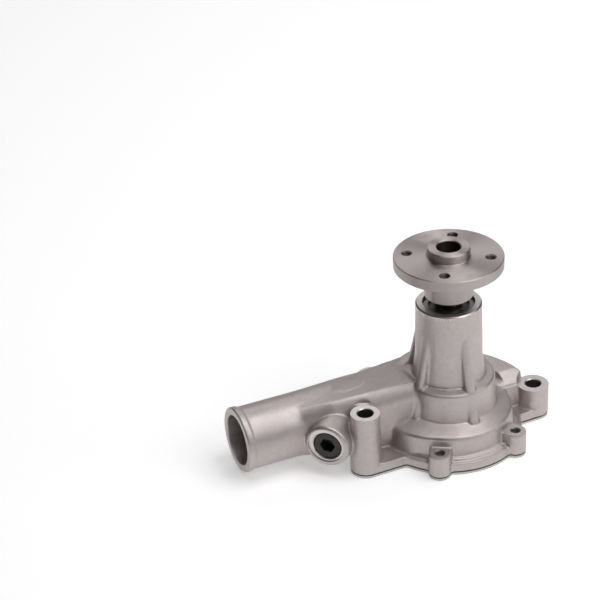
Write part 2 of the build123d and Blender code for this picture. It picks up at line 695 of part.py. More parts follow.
def build_impeller():
    """Cast impeller with swept vanes that face the suction eye."""
    disc_top = IMPELLER_BOTTOM + IMPELLER_DISC_T
    body = post(IMPELLER_R, IMPELLER_BOTTOM, disc_top)
    body += turned(
        (0, IMPELLER_BOTTOM), (IMPELLER_HUB_R + 2, IMPELLER_BOTTOM), (IMPELLER_HUB_R + 2, disc_top + 1),
        (IMPELLER_HUB_R, disc_top + 6), (IMPELLER_HUB_R, IMPELLER_HUB_TOP), (0, IMPELLER_HUB_TOP)
    )
    start = IMPELLER_HUB_R - 1.0
    path = Spline(
        (start, 0), polar((start + IMPELLER_R) / 2, VANE_SWEEP * 0.34), polar(IMPELLER_R - 0.6, VANE_SWEEP)
    )
    vane = slab(trace(path, VANE_T), disc_top - 0.5, VANE_TOP)
    for turn in spokes(VANE_COUNT):
        body += turn * vane
    body = body & post(IMPELLER_R, 0, 60)
    body -= post(SEAT_RECESS_R, SEAT_RECESS_Z, 60)
    return body - post(TAIL_R + SEAT, 0, 60)


def build_seat_cup():
    """Rubber cup that holds the rotating seal ring on the impeller."""
    body = ring(TAIL_R + SEAT, SEAT_RECESS_R - SEAT, SEAT_RECESS_Z, CERAMIC_Z[1] - 1)
    return body - post(CERAMIC_R[1], CERAMIC_Z[0], CERAMIC_Z[1])


def build_slinger():
    """Ring that throws stray water off the shaft into the weep chamber."""
    low, high = SLINGER_Z
    return turned((TAIL_R + SEAT, low), (SLINGER_R - 2, low), (SLINGER_R, high - 0.9), (SLINGER_R, high),
                  (TAIL_R + SEAT, high))


# ================================================================ stationary seal
def build_seal_cup():
    """Pressed brass cup of the shaft seal."""
    outer = SEAL_BORE_R - SEAT
    low = TOWER_BOTTOM - CUP_T
    body = ring(outer - CUP_T, outer, low, CUP_TOP)
    body += ring(CUP_MOUTH_R, outer, CUP_TOP - CUP_T, CUP_TOP)
    return body + ring(outer - CUP_T, CUP_FLANGE_R, low, TOWER_BOTTOM)


def build_bellows():
    """Rubber bellows between the cup and the carbon ring."""
    inner, outer = BELLOWS_R
    top = CUP_TOP - CUP_T
    body = ring(inner, SEAL_BORE_R - SEAT - CUP_T, top - BELLOWS_COLLAR, top)
    body += ring(inner, outer, BELLOWS_FOOT - LAP, top - BELLOWS_COLLAR / 2)
    body += ring(inner, CARBON_R[1] + RUBBER_T, CARBON_TOP, BELLOWS_FOOT)
    return body + ring(CARBON_R[1], CARBON_R[1] + RUBBER_T, CARBON_TOP - CARBON_GRIP, CARBON_TOP + LAP)


def build_carbon():
    """Stationary carbon seal ring."""
    face = CERAMIC_Z[1] + RUNNING
    shoulder = face + CARBON_FLANGE_Z
    body = ring(CARBON_R[0], CARBON_R[1], shoulder, CARBON_TOP)
    return body + ring(CARBON_R[0], CARBON_NOSE_R, face, shoulder + LAP)


def build_retainer():
    """Ferrule that clamps the bellows on the carbon ring and seats the spring."""
    inner = CARBON_R[1] + RUBBER_T
    top = BELLOWS_FOOT + RETAINER_T
    body = ring(inner, inner + RETAINER_T, CARBON_TOP - CARBON_GRIP, top)
    return body + ring(BELLOWS_R[1] + LAP, inner + RETAINER_T, BELLOWS_FOOT, top)


def build_spring():
    """Coil spring that keeps the two seal faces together."""
    low = BELLOWS_FOOT + RETAINER_T + SPRING_WIRE_R
    high = CUP_TOP - CUP_T - BELLOWS_COLLAR - SPRING_WIRE_R
    height = high - low
    coil = Helix(height / SPRING_TURNS, height, SPRING_R)
    start = Plane(origin=coil @ 0, z_dir=coil % 0)
    return Pos(0, 0, low) * sweep(start * Circle(SPRING_WIRE_R), path=coil)


# ================================================================ write the pieces
def build_all():
    """Every piece by its node name."""
    pieces = {
        "housing": build_housing(),
        "backing_plate": build_plate(),
        "plate_gasket": build_gasket(),
        "port_plug": build_plug(),
        "bearing_outer_ring": build_outer_ring(),
        "bearing_shaft": build_shaft(),
        "pulley_hub": build_hub(),
        "impeller": build_impeller(),
        "seal_cup": build_seal_cup(),
        "seal_bellows": build_bellows(),
        "seal_spring": build_spring(),
        "seal_retainer": build_retainer(),
        "seal_carbon_ring": build_carbon(),
        "seal_mating_ring": ring(*CERAMIC_R, *CERAMIC_Z),
        "seal_seat_cup": build_seat_cup(),
        "water_slinger": build_slinger(),
    }
    for number, (x, y) in enumerate(screw_spots(), 1):
        pieces[f"plate_screw_{number}"] = build_screw(x, y)
    for row in ROW_Z:
        pieces[f"bearing_lip_{row}"] = build_lip(row == "front")
        pieces[f"bearing_balls_{row}"] = build_balls(row)
        pieces[f"bearing_cage_{row}"] = build_cage(row)
    return pieces


for name, shape in build_all().items():
    export_step(shape, f"parts/{name}.step")
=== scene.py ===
import json
import logging
import math
from dataclasses import dataclass, field
from enum import Enum

import bmesh
import bpy
import numpy as np
from mathutils import Matrix, Vector, noise


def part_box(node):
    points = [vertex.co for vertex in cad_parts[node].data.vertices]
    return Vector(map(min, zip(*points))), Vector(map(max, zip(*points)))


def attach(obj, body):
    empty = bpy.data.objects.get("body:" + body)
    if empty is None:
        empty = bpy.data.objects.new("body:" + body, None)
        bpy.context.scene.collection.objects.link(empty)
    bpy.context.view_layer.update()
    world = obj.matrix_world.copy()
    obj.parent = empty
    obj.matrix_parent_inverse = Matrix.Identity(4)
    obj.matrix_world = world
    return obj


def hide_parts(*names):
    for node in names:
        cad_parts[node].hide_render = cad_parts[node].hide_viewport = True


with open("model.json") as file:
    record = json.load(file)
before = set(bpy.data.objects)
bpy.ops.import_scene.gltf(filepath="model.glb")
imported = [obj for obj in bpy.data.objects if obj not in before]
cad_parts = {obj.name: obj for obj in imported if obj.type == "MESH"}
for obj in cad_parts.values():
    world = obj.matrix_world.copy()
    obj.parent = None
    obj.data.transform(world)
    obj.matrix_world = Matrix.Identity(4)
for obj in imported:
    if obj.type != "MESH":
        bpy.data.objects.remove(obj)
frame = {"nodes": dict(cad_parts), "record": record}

LOG = logging.getLogger("water_pump")
MM = 0.001
SIDES = 96  # flats round a turned shape
MERGE = 1e-6  # points closer than this, in metres, are one
LEVEL = 0.99  # a face lies level where the upright share of its normal is above this
Colour = tuple[float, float, float]
Triple = tuple[float, float, float]
Pair = tuple[float, float]
Span = tuple[float, float]
WHOLE: Span = (0.0, 1.0)
MIDDLE: Span = (0.3, 0.7)  # where most values of a noise lie


class Marks(Enum):
    """How tool marks lie on a piece."""

    EVEN = "even"
    RINGS = "rings"


class Axis(Enum):
    """Direction of a turned shape's axis."""

    Y = "y"
    Z = "z"


# ------------------------------------------------------------------ finishes
class Graph:
    """A material's node tree, with short calls for the nodes that the finishes share."""

    def __init__(self, name: str) -> None:
        """Start a material with its shader.

        Args:
            name: Name of the material.
        """
        self.material = bpy.data.materials.new(name)
        self.material.use_nodes = True
        self.tree = self.material.node_tree
        self.shader = self.tree.nodes["Principled BSDF"]
        self.place = self.node("ShaderNodeTexCoord").outputs["Object"]

    def node(self, kind: str) -> bpy.types.Node:
        """Add a node of one kind."""
        return self.tree.nodes.new(kind)

    def join(self, source: bpy.types.NodeSocket, target: bpy.types.NodeSocket) -> None:
        """Link one socket to another."""
        self.tree.links.new(source, target)

    def fed(self, made: bpy.types.Node,
            values: tuple[bpy.types.NodeSocket | float | Triple, ...]) -> bpy.types.Node:
        """Give a node's inputs, in their order, a socket to read or a constant.

        Args:
            made: Node that is fed.
            values: Sockets and constants.

        Returns:
            The same node.
        """
        for socket, value in zip(made.inputs, values):
            if isinstance(value, bpy.types.NodeSocket):
                self.join(value, socket)
            else:
                socket.default_value = value
        return made

    def number(self, operation: str, *values: bpy.types.NodeSocket | float) -> bpy.types.NodeSocket:
        """Result of a calculation with numbers.

        Args:
            operation: What is done.
            values: What it is done to.

        Returns:
            The value socket.
        """
        made = self.node("ShaderNodeMath")
        made.operation = operation
        return self.fed(made, values).outputs["Value"]

    def vector(self, operation: str, *values: bpy.types.NodeSocket | Triple) -> bpy.types.NodeSocket:
        """Result of a calculation with vectors.

        Args:
            operation: What is done.
            values: What it is done to.

        Returns:
            The value socket of a length or a distance, and the vector socket of anything else.
        """
        made = self.node("ShaderNodeVectorMath")
        made.operation = operation
        return self.fed(made, values).outputs["Value" if operation in ("LENGTH", "DISTANCE") else "Vector"]

    def stretched(self, scale: Triple, turn: Triple = (0.0, 0.0, 0.0)) -> bpy.types.NodeSocket:
        """Object coordinates with a scale of their own along each axis.

        Args:
            scale: Factor along X, Y and Z.
            turn: Rotation in radians, made after the scale.

        Returns:
            The vector socket.
        """
        mapping = self.node("ShaderNodeMapping")
        mapping.inputs["Scale"].default_value = scale
        mapping.inputs["Rotation"].default_value = turn
        self.join(self.place, mapping.inputs["Vector"])
        return mapping.outputs["Vector"]

    def grain(self, size_mm: float, detail: float = 2.0, roughness: float = 0.5) -> bpy.types.NodeSocket:
        """Cloudy noise whose blotches are about as large as the size.

        Args:
            size_mm: Width of a blotch in millimetres.
            detail: Octaves of finer noise.
            roughness: Strength of the finer octaves.

        Returns:
            The value socket, from 0 to 1.
        """
        cloud = self.node("ShaderNodeTexNoise")
        cloud.inputs["Scale"].default_value = 1.0 / (size_mm * MM)
        cloud.inputs["Detail"].default_value = detail
        cloud.inputs["Roughness"].default_value = roughness
        self.join(self.place, cloud.inputs["Vector"])
        return cloud.outputs["Fac"]

    def pits(self, size_mm: float, reach: float) -> bpy.types.NodeSocket:
        """Scattered round spots, 0 at a spot's centre and 1 away from it.

        Args:
            size_mm: Distance between spots in millimetres.
            reach: Radius of a spot as a share of that distance.

        Returns:
            The value socket.
        """
        cells = self.node("ShaderNodeTexVoronoi")
        cells.inputs["Scale"].default_value = 1.0 / (size_mm * MM)
        self.join(self.place, cells.inputs["Vector"])
        return self.ranged(cells.outputs["Distance"], (0.0, reach), WHOLE)

    def reach(self) -> bpy.types.NodeSocket:
        """Distance from the Z axis, in metres."""
        return self.vector("LENGTH", self.stretched((1.0, 1.0, 0.0)))

    def grooves(self, pitch_mm: float) -> bpy.types.NodeSocket:
        """Lathe marks: uneven rings about Z on faces, and lines round Z on walls.

        Args:
            pitch_mm: Mean distance between grooves.

        Returns:
            The value socket, from 0 to 1.
        """
        parts = self.node("ShaderNodeSeparateXYZ")
        self.join(self.place, parts.inputs["Vector"])
        cloud = self.node("ShaderNodeTexNoise")
        cloud.noise_dimensions = "1D"
        cloud.inputs["Scale"].default_value = 1.0 / (pitch_mm * MM)
        cloud.inputs["Detail"].default_value = 3.0
        self.join(self.number("ADD", self.reach(), parts.outputs["Z"]), cloud.inputs["W"])
        return cloud.outputs["Fac"]

    def bolt_circle(self, radius_mm: float, phase: float) -> bpy.types.NodeSocket:
        """Distance from the nearest of four holes round Z.

        Args:
            radius_mm: Radius of the circle that the holes lie on.
            phase: Angle of the first hole in degrees.

        Returns:
            The distance socket, in metres.
        """
        turned = self.stretched((1.0, 1.0, 0.0), (0.0, 0.0, -math.radians(phase)))
        parts = self.node("ShaderNodeSeparateXYZ")
        self.join(self.vector("ABSOLUTE", turned), parts.inputs["Vector"])
        sides = parts.outputs["X"], parts.outputs["Y"]
        paired = self.node("ShaderNodeCombineXYZ")
        self.join(self.number("MAXIMUM", *sides), paired.inputs["X"])
        self.join(self.number("MINIMUM", *sides), paired.inputs["Y"])
        return self.vector("DISTANCE", paired.outputs["Vector"], (radius_mm * MM, 0.0, 0.0))

    def lathe_sheen(self, amount: float) -> None:
        """Stretch highlights across lathe marks that run round Z.

        Args:
            amount: Strength, from 0 to 1.
        """
        around = self.vector("CROSS_PRODUCT", (0.0, 0.0, 1.0), self.place)
        across = self.vector("CROSS_PRODUCT", self.place.node.outputs["Normal"], around)
        self.join(self.vector("NORMALIZE", across), self.shader.inputs["Tangent"])
        self.shader.inputs["Anisotropic"].default_value = amount

    def ranged(self, value: bpy.types.NodeSocket, source: Span, target: Span) -> bpy.types.NodeSocket:
        """Map a value from one range to another, clamped.

        Args:
            value: Socket to map.
            source: Range read.
            target: Range given.

        Returns:
            The mapped socket.
        """
        mapped = self.node("ShaderNodeMapRange")
        for socket, number in zip(("From Min", "From Max", "To Min", "To Max"), (*source, *target)):
            mapped.inputs[socket].default_value = number
        self.join(value, mapped.inputs["Value"])
        return mapped.outputs["Result"]

    def blended(self, share: bpy.types.NodeSocket, low: Colour | bpy.types.NodeSocket,
                high: Colour | bpy.types.NodeSocket) -> bpy.types.NodeSocket:
        """Colour between two, by a share.

        Args:
            share: 0 gives low and 1 gives high.
            low: Colour or socket.
            high: Colour or socket.

        Returns:
            The colour socket.
        """
        mix = self.node("ShaderNodeMix")
        mix.data_type = "RGBA"
        self.join(share, mix.inputs["Factor"])
        first, second, result = 6, 7, 2  # places of the colour sockets, whose names other sockets share
        for place, value in ((first, low), (second, high)):
            if isinstance(value, tuple):
                mix.inputs[place].default_value = (*value, 1.0)
            else:
                self.join(value, mix.inputs[place])
        return mix.outputs[result]

    def summed(self, *weighted: tuple[bpy.types.NodeSocket, float]) -> bpy.types.NodeSocket:
        """Sum of sockets, each times a weight.

        Args:
            weighted: Pairs of socket and weight.

        Returns:
            The sum's socket.
        """
        total = 0.0
        for socket, weight in weighted:
            total = self.number("MULTIPLY_ADD", socket, weight, total)
        return total

    def worn(self, stain: bpy.types.NodeSocket, fine: bpy.types.NodeSocket) -> bpy.types.NodeSocket:
        """Half a stain and half a finer pattern, from 0 to 1."""
        return self.summed((self.ranged(stain, MIDDLE, WHOLE), 0.5), (fine, 0.5))

    def relief(self, height: bpy.types.NodeSocket, depth_mm: float, strength: float) -> None:
        """Use a height as the shader's bump.

        Args:
            height: Height socket, from 0 to 1.
            depth_mm: What a height of 1 stands for.
            strength: Share of the bump.
        """
        bump = self.node("ShaderNodeBump")
        bump.inputs["Distance"].default_value = depth_mm * MM
        bump.inputs["Strength"].default_value = strength
        self.join(height, bump.inputs["Height"])
        self.join(bump.outputs["Normal"], self.shader.inputs["Normal"])

    def surface(self, colour: bpy.types.NodeSocket, rough: bpy.types.NodeSocket, metallic: float) -> None:
        """Set the shader's main sockets.

        Args:
            colour: Socket of the base colour.
            rough: Socket of the roughness.
            metallic: 0 for a skin or a moulding and 1 for bare metal.
        """
        self.join(colour, self.shader.inputs["Base Color"])
        self.join(rough, self.shader.inputs["Roughness"])
        self.shader.inputs["Metallic"].default_value = metallic


@dataclass(frozen=True)
class CastFinish:
    """Bare cast metal: fine blasted grain, cloudy tone and a few pits."""

    name: str = "cast_aluminium"
    light: Colour = (0.585, 0.526, 0.518)
    dark: Colour = (0.455, 0.408, 0.400)
    metallic: float = 0.85
    rough: Span = (0.40, 0.56)
    grain_mm: float = 0.5
    blotch_mm: float = 3.2
    cloud_mm: float = 11.0
    cloud_span: Span = (0.25, 0.75)
    pit_mm: float = 3.1
    pit_reach: float = 0.16
    pit_shade: float = 0.72
    tone_shares: Triple = (0.4, 0.3, 0.3)  # cloud, blotch, grain
    relief_shares: Triple = (0.5, 0.6, 0.25)  # grain, cloud, pits
    grain_depth_mm: float = 0.1
    bump: float = 0.8

    def material(self) -> bpy.types.Material:
        """Build the material.

        Returns:
            The finished material.
        """
        g = Graph(self.name)
        fine = g.grain(self.grain_mm, 3.0)
        blotch = g.grain(self.blotch_mm)
        cloud = g.grain(self.cloud_mm, 3.0, 0.6)
        pits = g.pits(self.pit_mm, self.pit_reach)
        tone = g.summed(*((g.ranged(layer, MIDDLE, WHOLE), share)
                          for layer, share in zip((cloud, blotch, fine), self.tone_shares)))
        shade = tuple(c * self.pit_shade for c in self.dark)
        g.surface(
            g.blended(pits, shade, g.blended(tone, self.dark, self.light)),
            g.ranged(cloud, self.cloud_span, self.rough), self.metallic
        )
        g.relief(g.summed(*zip((fine, cloud, pits), self.relief_shares)), self.grain_depth_mm, self.bump)
        return g.material


@dataclass(frozen=True)
class MachinedFinish:
    """Metal cut by a lathe, a mill or a grinder, with its fine tool marks."""

    name: str
    light: Colour
    dark: Colour
    rough: Span
    pitch_mm: float
    depth_mm: float
    marks: Marks = Marks.RINGS
    stain_mm: float = 7.0
    bump: float = 0.7

    def material(self) -> bpy.types.Material:
        """Build the material.

        Returns:
            The finished material.
        """
        g = Graph(self.name)
        lines = g.grooves(self.pitch_mm) if self.marks is Marks.RINGS else g.grain(self.pitch_mm)
        stain = g.grain(self.stain_mm, 4.0, 0.6)
        g.surface(g.blended(g.worn(stain, lines), self.dark, self.light), g.ranged(stain, MIDDLE, self.rough), 1.0)
        g.relief(lines, self.depth_mm, self.bump)
        return g.material


@dataclass(frozen=True)
class CoatedFinish:
    """Plated, blackened, moulded or pressed surface with a faint skin texture."""

    name: str
    light: Colour
    dark: Colour
    rough: Span
    metallic: float = 0.0
    grain_mm: float = 0.5
    grain_span: Span = (0.35, 0.65)
    depth_mm: float = 0.03
    cloud_mm: float = 4.0
    bump: float = 0.8

    def material(self) -> bpy.types.Material:
        """Build the material.

        Returns:
            The finished material.
        """
        g = Graph(self.name)
        fine = g.grain(self.grain_mm, 3.0)
        cloud = g.grain(self.cloud_mm, 3.0)
        tone = g.worn(cloud, g.ranged(fine, self.grain_span, WHOLE))
        g.surface(g.blended(tone, self.dark, self.light), g.ranged(cloud, MIDDLE, self.rough), self.metallic)
        g.relief(fine, self.depth_mm, self.bump)
        return g.material


@dataclass(frozen=True)
class HubFinish:
    """Turned steel with the sheen of its rings, and painted shade in its bore and its bolt holes. Sizes are in
    millimetres.
    """

    hole_circle_r: float
    name: str = "turned_steel"
    light: Colour = (0.55, 0.495, 0.482)
    dark: Colour = (0.41, 0.369, 0.359)
    # Painted shade on the walls of the bolt holes, darker than the turned metal.
    hole_shade: Colour = (0.20, 0.178, 0.172)
    # Painted shade inside the bore, almost black.
    bore: Colour = (0.045, 0.037, 0.035)
    rough: Span = (0.38, 0.48)
    hole_rough: float = 0.15
    bore_rough: float = 0.25
    sheen: float = 0.88
    # Radius of the painted shade in the bore, a little wider than the bore itself.
    bore_r: float = 6.9
    mouth_r: float = 3.2  # of a hole, with its rounded edge
    edge: float = 0.1
    phase: float = -33.2  # of the first hole, in degrees
    pitch_mm: float = 0.35
    stain_mm: float = 7.0
    depth_mm: float = 0.012
    bump: float = 0.6

    def material(self) -> bpy.types.Material:
        """Build the material.

        Returns:
            The finished material.
        """
        g = Graph(self.name)
        lines = g.grooves(self.pitch_mm)
        stain = g.grain(self.stain_mm, 4.0, 0.6)
        # Masks of the painted shade: the bolt holes and the bore.
        hole = self.within(g, g.bolt_circle(self.hole_circle_r, self.phase), self.mouth_r)
        inside = self.within(g, g.reach(), self.bore_r)
        metal = g.blended(hole, g.blended(g.worn(stain, lines), self.dark, self.light), self.hole_shade)
        rough = g.summed((g.ranged(stain, MIDDLE, self.rough), 1.0), (hole, self.hole_rough),
                         (inside, self.bore_rough))
        g.surface(g.blended(inside, metal, self.bore), rough, 1.0)
        g.relief(lines, self.depth_mm, self.bump)
        g.lathe_sheen(self.sheen)
        return g.material

    def within(self, g: Graph, distance: bpy.types.NodeSocket, radius: float) -> bpy.types.NodeSocket:
        """Mark what lies inside a radius.

        Args:
            g: Graph of the material.
            distance: Distance socket, in metres.
            radius: The radius in millimetres.

        Returns:
            The value socket, 1 inside and 0 outside, with a soft edge.
        """
        return g.ranged(distance, ((radius - self.edge) * MM, (radius + self.edge) * MM), (1.0, 0.0))


Finish = CastFinish | MachinedFinish | CoatedFinish | HubFinish


# ------------------------------------------------------------------ frame and mesh helpers
def mount(name: str) -> dict:
    """Mount of the record, by its name."""
    return next(entry for entry in frame["record"]["mounts"] if entry["name"] == name)


def cad_mesh(node: str) -> bmesh.types.BMesh:
    """Copy of a construction node's mesh with its loose triangles merged.

    Args:
        node: Name of the node.

    Returns:
        The merged mesh, which the caller frees.
    """
    mesh = bmesh.new()
    mesh.from_mesh(frame["nodes"][node].data)
    bmesh.ops.remove_doubles(mesh, verts=mesh.verts, dist=MERGE)
    return mesh


def piece(name: str, mesh: bmesh.types.BMesh) -> bpy.types.Object:
    """Turn a bmesh into an object in the scene and free it.

    Args:
        name: Name of the piece.
        mesh: Its shape, in place.

    Returns:
        The object.
    """
    data = bpy.data.meshes.new(name)
    mesh.to_mesh(data)
    mesh.free()
    made = bpy.data.objects.new(name, data)
    bpy.context.scene.collection.objects.link(made)
    return made


def rod(mesh: bmesh.types.BMesh, radius: float, low: float, high: float, centre: Vector, axis: Axis = Axis.Z,
        far_radius: float | None = None, within: Matrix | None = None) -> None:
    """Add a closed cylinder or cone to a bmesh. All sizes are in millimetres.

    Args:
        mesh: Mesh that receives it.
        radius: Radius at the low end.
        low: Start along the axis.
        high: End along the axis.
        centre: Centre across the axis; its value along the axis is left out.
        axis: Direction of the axis.
        far_radius: Radius at the high end, or None for a cylinder.
        within: Frame that the other sizes are given in, or None for the model's own.
    """
    turn, along = {Axis.Y: (Matrix.Rotation(-math.pi / 2, 4, "X"), Vector((0, 1, 0))),
                   Axis.Z: (Matrix(), Vector((0, 0, 1)))}[axis]
    across = centre - along * centre.dot(along)
    place = Matrix.Translation((across + along * (low + high) / 2) * MM) @ turn
    bmesh.ops.create_cone(
        mesh, cap_ends=True, segments=SIDES, radius1=radius * MM,
        radius2=(radius if far_radius is None else far_radius) * MM, depth=(high - low) * MM,
        matrix=place if within is None else within @ place
    )


def spun(mesh: bmesh.types.BMesh, profile: list[tuple[float, float]], spot: Vector, loop: bool = False) -> None:
    """Add a closed shape turned about an upright axis to a bmesh. All sizes are in millimetres.

    Args:
        mesh: Mesh that receives it.
        profile: Corners as radius and height.
        spot: Point on the axis.
        loop: True where the profile closes on itself, False where it starts and ends on the axis.
    """
    verts = [mesh.verts.new(Vector((spot.x + r, spot.y, z)) * MM) for r, z in profile]
    ends = verts[1:] + (verts[:1] if loop else [])
    edges = [mesh.edges.new(pair) for pair in zip(verts, ends)]
    bmesh.ops.spin(mesh, geom=verts + edges, cent=spot * MM, axis=(0, 0, 1), angle=math.tau, steps=SIDES,
                   use_merge=True)
    bmesh.ops.remove_doubles(mesh, verts=mesh.verts, dist=MERGE)
    bmesh.ops.recalc_face_normals(mesh, faces=mesh.faces)


def block(mesh: bmesh.types.BMesh, low: Vector, high: Vector) -> None:
    """Add a closed box to a bmesh. All sizes are in millimetres.

    Args:
        mesh: Mesh that receives it.
        low: Lowest corner.
        high: Highest corner.
    """
    size = (high - low) * MM
    place = Matrix.Translation((low + high) / 2 * MM) @ Matrix.Diagonal((*size, 1.0))
    bmesh.ops.create_cube(mesh, size=1.0, matrix=place)


def apply_modifiers(target: bpy.types.Object) -> None:
    """Replace an object's mesh by the one its modifiers make.

    Args:
        target: Object that is changed in place.
    """
    graph = bpy.context.evaluated_depsgraph_get()
    made = bpy.data.meshes.new_from_object(target.evaluated_get(graph))
    target.modifiers.clear()
    target.data = made


def cut(target: bpy.types.Object, cutter: bpy.types.Object) -> None:
    """Take one closed shape away from another and delete the cutter.

    Args:
        target: Shape that is cut.
        cutter: Shape that is taken away.
    """
    step = target.modifiers.new("cut", "BOOLEAN")
    step.operation = "DIFFERENCE"
    step.solver = "MANIFOLD"
    step.object = cutter
    apply_modifiers(target)
    bpy.data.objects.remove(cutter)


def paint(target: bpy.types.Object, *materials: bpy.types.Material) -> None:
    """Give an object other materials in place of its own.

    Args:
        target: Object that is painted.
        materials: One for each slot, in order.
    """
    target.data.materials.clear()
    for material in materials:
        target.data.materials.append(material)


def shade(target: bpy.types.Object, degrees: float) -> None:
    """Shade smoothly, with a sharp edge where faces meet at more than an angle."""
    target.data.shade_smooth()
    target.data.set_sharp_from_angle(angle=math.radians(degrees))


def per_face(data: bpy.types.Mesh, name: str) -> np.ndarray:
    """Read the centres or the normals of a mesh's faces.

    Args:
        data: The mesh.
        name: "center" or "normal".

    Returns:
        An array with a row for each face.
    """
    values = np.empty(len(data.polygons) * 3)
    data.polygons.foreach_get(name, values)
    return values.reshape(-1, 3)


# ------------------------------------------------------------------ casting
@dataclass(frozen=True)
class Boss:
    """A bolt boss in millimetres: middle of its hole, height of its top and radius of its facing."""

    spot: Vector
    top: float
    reach: float

    def away(self, x: float | np.ndarray, y: float | np.ndarray) -> float | np.ndarray:
        """Distance from the hole's axis."""
        return np.hypot(x - self.spot.x, y - self.spot.y)


@dataclass
class Casting:
    """Cast body: the housing with soft cast edges, then faced, drilled and chamfered like the real one.

    Sizes are in millimetres.
    """

    voxel: float = 0.5
    smoothing: float = 0.5
    rounds: int = 12
    faces: int = 150_000
    ripple: float = 0.05
    ripple_size: float = 7.0
    sharp_angle: float = 32.0
    near: float = 0.05  # what lies this close to a level belongs to it
    on_plane: float = 0.02  # the same for the middle of a cut face
    allowance: float = 1.5  # metal left on for machining
    filler: float = 1.2  # holes are filled this much wider than they are
    past: float = 1.0  # fillers and drills run this far past a face
    clear: float = 8.0  # facing cutters run this far past it
    far: float = 80.0  # half the width of the cutter for the underside
    base_from_x: float = -75.0
    snout_top: float = 89.5
    snout_r: float = 18.8
    snout_reach: float = 20.0
    snout_rim: float = 0.6
    snout_chamfer: float = 0.7
    snout_milled: float = 1.5
    snout_bore_r: float = 15.5
    edge_over: float = 0.5  # the edge tool stands this far above the top
    edge_out: float = 3.0  # and this far outside and below its edge
    boss_r: float = 9.2
    bolt_chamfer: float = 0.5
    facing_r: dict[str, float] = field(default_factory=lambda: {"tall": 11.2, "right": 9.7, "rear": 9.5})
    screw_r: float = 2.5
    screw_chamfer: float = 0.6
    screw_top: float = 15.0
    port_turn: float = 45.0
    port_mouth_r: float = 9.3
    port_mouth_lead: float = 0.4
    port_spot_r: float = 10.6
    port_spot: float = 0.8
    port_lead: float = 4.0
    port_shift: Pair = (-0.5, 0.5)  # of the facing, across and up from the port's axis
    port_filler: Pair = (1.6, 3.0)  # extra radius and depth
    port_rim: float = 1.4
    tap_depth: float = 12.0
    plug_sunk: float = 0.7
    plug_gap: float = 0.01
    cast: CastFinish = CastFinish()
    milled: MachinedFinish = MachinedFinish(
        "milled_aluminium", (0.66, 0.625, 0.61), (0.56, 0.525, 0.515), (0.3, 0.45),
        pitch_mm=0.35, depth_mm=0.01, marks=Marks.EVEN)
    # Walls of the bolt and screw holes: painted shade, far darker than the milled faces.
    drilled: MachinedFinish = MachinedFinish(
        "drilled_aluminium", (0.30, 0.275, 0.268), (0.21, 0.19, 0.186), (0.4, 0.55), pitch_mm=0.4, depth_mm=0.02)
    bolt_r: float = field(init=False)
    base_z: float = field(init=False)
    bosses: list[Boss] = field(init=False)
    screws: list[Vector] = field(init=False)
    port: Matrix = field(init=False)
    port_r: float = field(init=False)

    def __post_init__(self) -> None:
        """Take the sizes that other pieces share from the frame."""
        self.bosses = []
        for name, reach in self.facing_r.items():
            hole = mount(f"bolt_hole_{name}")
            spot = Vector(hole["pos_m"]) / MM
            self.bolt_r = hole["dims"]["r_mm"]
            self.bosses.append(Boss(spot, hole["dims"]["length_mm"] + self.bolt_chamfer, reach))
        self.base_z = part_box("plate_gasket")[1].z / MM
        self.screws = [sum(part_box(f"plate_screw_{i}"), Vector()) / 2 / MM for i in (1, 2)]
        turn = Matrix.Rotation(-math.radians(self.port_turn), 4, "Z")
        plug = [turn.inverted() @ vert.co / MM for vert in frame["nodes"]["port_plug"].data.vertices]
        low, high = (Vector(pick(point[i] for point in plug) for i in range(3)) for pick in (min, max))
        middle = (low + high) / 2
        face = Vector((middle.x, low.y - self.port_spot - self.plug_sunk, middle.z))
        self.port = turn @ Matrix.Translation(face * MM)
        self.port_r = (high.z - low.z) / 2 + self.plug_gap

    def raw(self) -> bpy.types.Object:
        """Casting before machining: faces stand proud by the allowance, and holes are filled.

        Returns:
            The raw casting.
        """
        mesh = cad_mesh("housing")
        grow = self.allowance * MM
        for vert in mesh.verts:
            x, y, z = vert.co / MM
            if z < self.base_z + self.near and x > self.base_from_x:
                vert.co.z -= grow
            elif z > self.snout_top - self.snout_rim - self.near and math.hypot(x, y) < self.snout_reach:
                vert.co.z += grow
            for boss in self.bosses:
                foot = boss.top - self.bolt_chamfer
                if foot - self.near < z < boss.top + self.near and boss.away(x, y) < self.boss_r + self.near:
                    vert.co.z += grow
        plugs = bmesh.new()
        low = self.base_z - self.past
        for boss in self.bosses:
            rod(plugs, self.bolt_r + self.filler, low, boss.top + self.past, boss.spot)
        for spot in self.screws:
            rod(plugs, self.screw_r + self.filler, low, self.screw_top, spot)
        wider, depth = self.port_filler
        rod(plugs, self.port_mouth_r + wider, 0, depth, Vector(), Axis.Y, within=self.port)
        spare = bpy.data.meshes.new("plugs")
        plugs.to_mesh(spare)
        plugs.free()
        mesh.from_mesh(spare)
        return piece("casting", mesh)

    def soften(self, casting: bpy.types.Object) -> None:
        """Give the casting rounded edges and filled corners, and a slight waviness.

        Args:
            casting: The raw casting, changed in place.
        """
        remesh = casting.modifiers.new("remesh", "REMESH")
        remesh.mode = "VOXEL"
        remesh.voxel_size = self.voxel * MM
        smooth = casting.modifiers.new("smooth", "SMOOTH")
        smooth.factor = self.smoothing
        smooth.iterations = self.rounds
        apply_modifiers(casting)
        count = sum(len(p.vertices) - 2 for p in casting.data.polygons)
        thin = casting.modifiers.new("thin", "DECIMATE")
        thin.ratio = min(1.0, self.faces / count)
        apply_modifiers(casting)
        mesh = bmesh.new()
        mesh.from_mesh(casting.data)
        mesh.normal_update()
        for vert in mesh.verts:
            wave = noise.noise(vert.co / (self.ripple_size * MM))
            vert.co += vert.normal * wave * self.ripple * MM
        mesh.to_mesh(casting.data)
        mesh.free()

